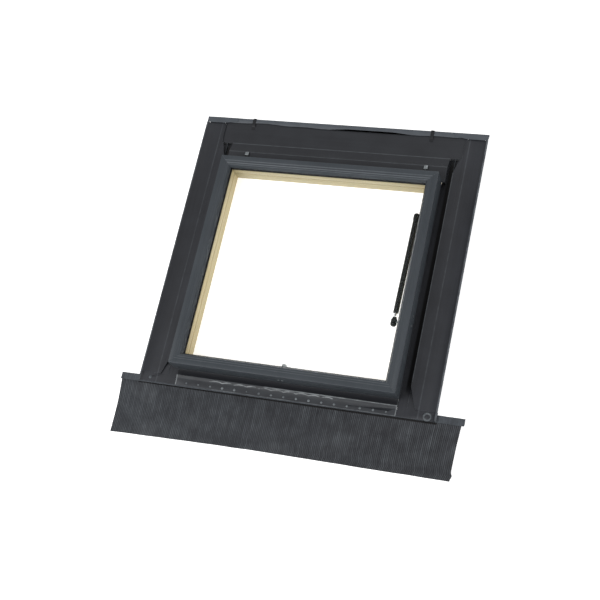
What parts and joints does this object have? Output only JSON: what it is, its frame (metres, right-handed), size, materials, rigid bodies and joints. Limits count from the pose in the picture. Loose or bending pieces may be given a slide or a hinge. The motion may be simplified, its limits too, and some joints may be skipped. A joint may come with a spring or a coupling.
{
  "type": "roof skylight",
  "caption": "Top-hung roof access skylight: glazed metal-clad sash on a pine frame, with folded flashing, pleated apron, gas strut and turn handle.",
  "frame": {"origin": "middle of the footprint at the height of the pine frame's underside", "axes": "+X across the roof to the strut's side, +Y up the roof slope towards the hinges, +Z away from the roof"},
  "size_m": [1.192, 1.204, 0.095],
  "materials": {
    "pine": "planed and clear finished",
    "batten_wood": "sawn",
    "flashing_metal": "grey coated sheet, satin",
    "bottom_flashing_metal": "grey coated sheet, satin",
    "clip_metal": "dark coated strip",
    "apron_metal": "grey coated pleated sheet",
    "hem_metal": "grey coated sheet",
    "sash_metal": "grey powder coat, satin",
    "mill_aluminium": "mill finish",
    "glass": "clear",
    "black_rubber": "matt",
    "hinge_steel": "dark coated",
    "bright_fasteners": "bright zinc",
    "zinc_steel": "zinc plated",
    "bracket_steel": "zinc plated",
    "strut_black": "black enamel, satin",
    "black_plastic": "matt",
    "chromed_rod": "polished",
    "handle_metal": "satin cast"
  },
  "bodies": {
    "frame": {"frame_top_rail": "pine", "frame_bottom_rail": "pine", "frame_left_stile": "pine", "frame_right_stile": "pine", "frame_corner_screws": "zinc_steel", "hinge_batten": "batten_wood", "frame_seal": "black_rubber", "flashing_left": "flashing_metal", "flashing_right": "flashing_metal", "flashing_top": "flashing_metal", "flashing_bottom": "bottom_flashing_metal", "flashing_screws": "zinc_steel", "flashing_clips": "clip_metal", "apron": "apron_metal", "apron_hem": "hem_metal", "hinge_frame_leaf_left": "hinge_steel", "hinge_frame_leaf_right": "hinge_steel", "hinge_pins": "zinc_steel", "hinge_square_screws": "bright_fasteners", "strut_frame_bracket": "bracket_steel", "strut_bracket_screws": "zinc_steel", "strut_upper_ball": "zinc_steel", "latch_keeper": "bracket_steel", "latch_keeper_lip": "bracket_steel", "latch_keeper_screws": "zinc_steel"},
    "sash": {"sash_top_profile": "sash_metal", "sash_bottom_profile": "sash_metal", "sash_left_profile": "sash_metal", "sash_right_profile": "sash_metal", "sash_corner_keys": "mill_aluminium", "sash_wood_top": "pine", "sash_wood_bottom": "pine", "sash_wood_left": "pine", "sash_wood_right": "pine", "outer_pane": "glass", "inner_pane": "glass", "pane_spacer": "mill_aluminium", "glazing_gasket": "black_rubber", "glazing_tape": "black_rubber", "hinge_sash_leaf_left": "hinge_steel", "hinge_sash_leaf_right": "hinge_steel", "hinge_sash_screws": "zinc_steel", "strut_sash_bracket": "bracket_steel", "strut_bracket_rivets": "bright_fasteners", "handle_base": "handle_metal", "handle_bolts": "bright_fasteners", "handle_pivot": "zinc_steel"},
    "handle": {"handle_lever": "handle_metal", "latch_tongue": "handle_metal", "latch_nose": "handle_metal"},
    "strut_tube": {"strut_tube": "strut_black", "strut_guide": "black_plastic", "strut_upper_socket": "black_plastic"},
    "strut_rod": {"strut_rod": "chromed_rod", "strut_piston": "black_plastic", "strut_lower_socket": "black_plastic", "strut_lower_ball": "zinc_steel"}
  },
  "joints": [
    {"name": "sash_hinge", "type": "hinge", "parent": "frame", "child": "sash", "pos_m": [-0.01, 0.42096, 0.036], "axis": [-1, 0, 0], "range_deg": [0, 60]},
    {"name": "strut_pivot", "type": "hinge", "parent": "frame", "child": "strut_tube", "pos_m": [0.318, 0.26495, 0.028], "axis": [-1, 0, 0], "range_deg": [0, 75.2]},
    {"name": "strut_slide", "type": "slide", "parent": "strut_tube", "child": "strut_rod", "axis": [0, -0.9989, 0.0477], "range_m": [0, 0.108]},
    {"name": "handle_turn", "type": "hinge", "parent": "sash", "child": "handle", "pos_m": [-0.013, -0.32005, 0.05], "axis": [0, 1, 0], "range_deg": [0, 90]}
  ],
  "couplings": [
    {"joint": "strut_pivot", "follows": "sash_hinge", "ratio": 1.2526},
    {"joint": "strut_slide", "follows": "sash_hinge", "m_per_rad": 0.1031}
  ]
}
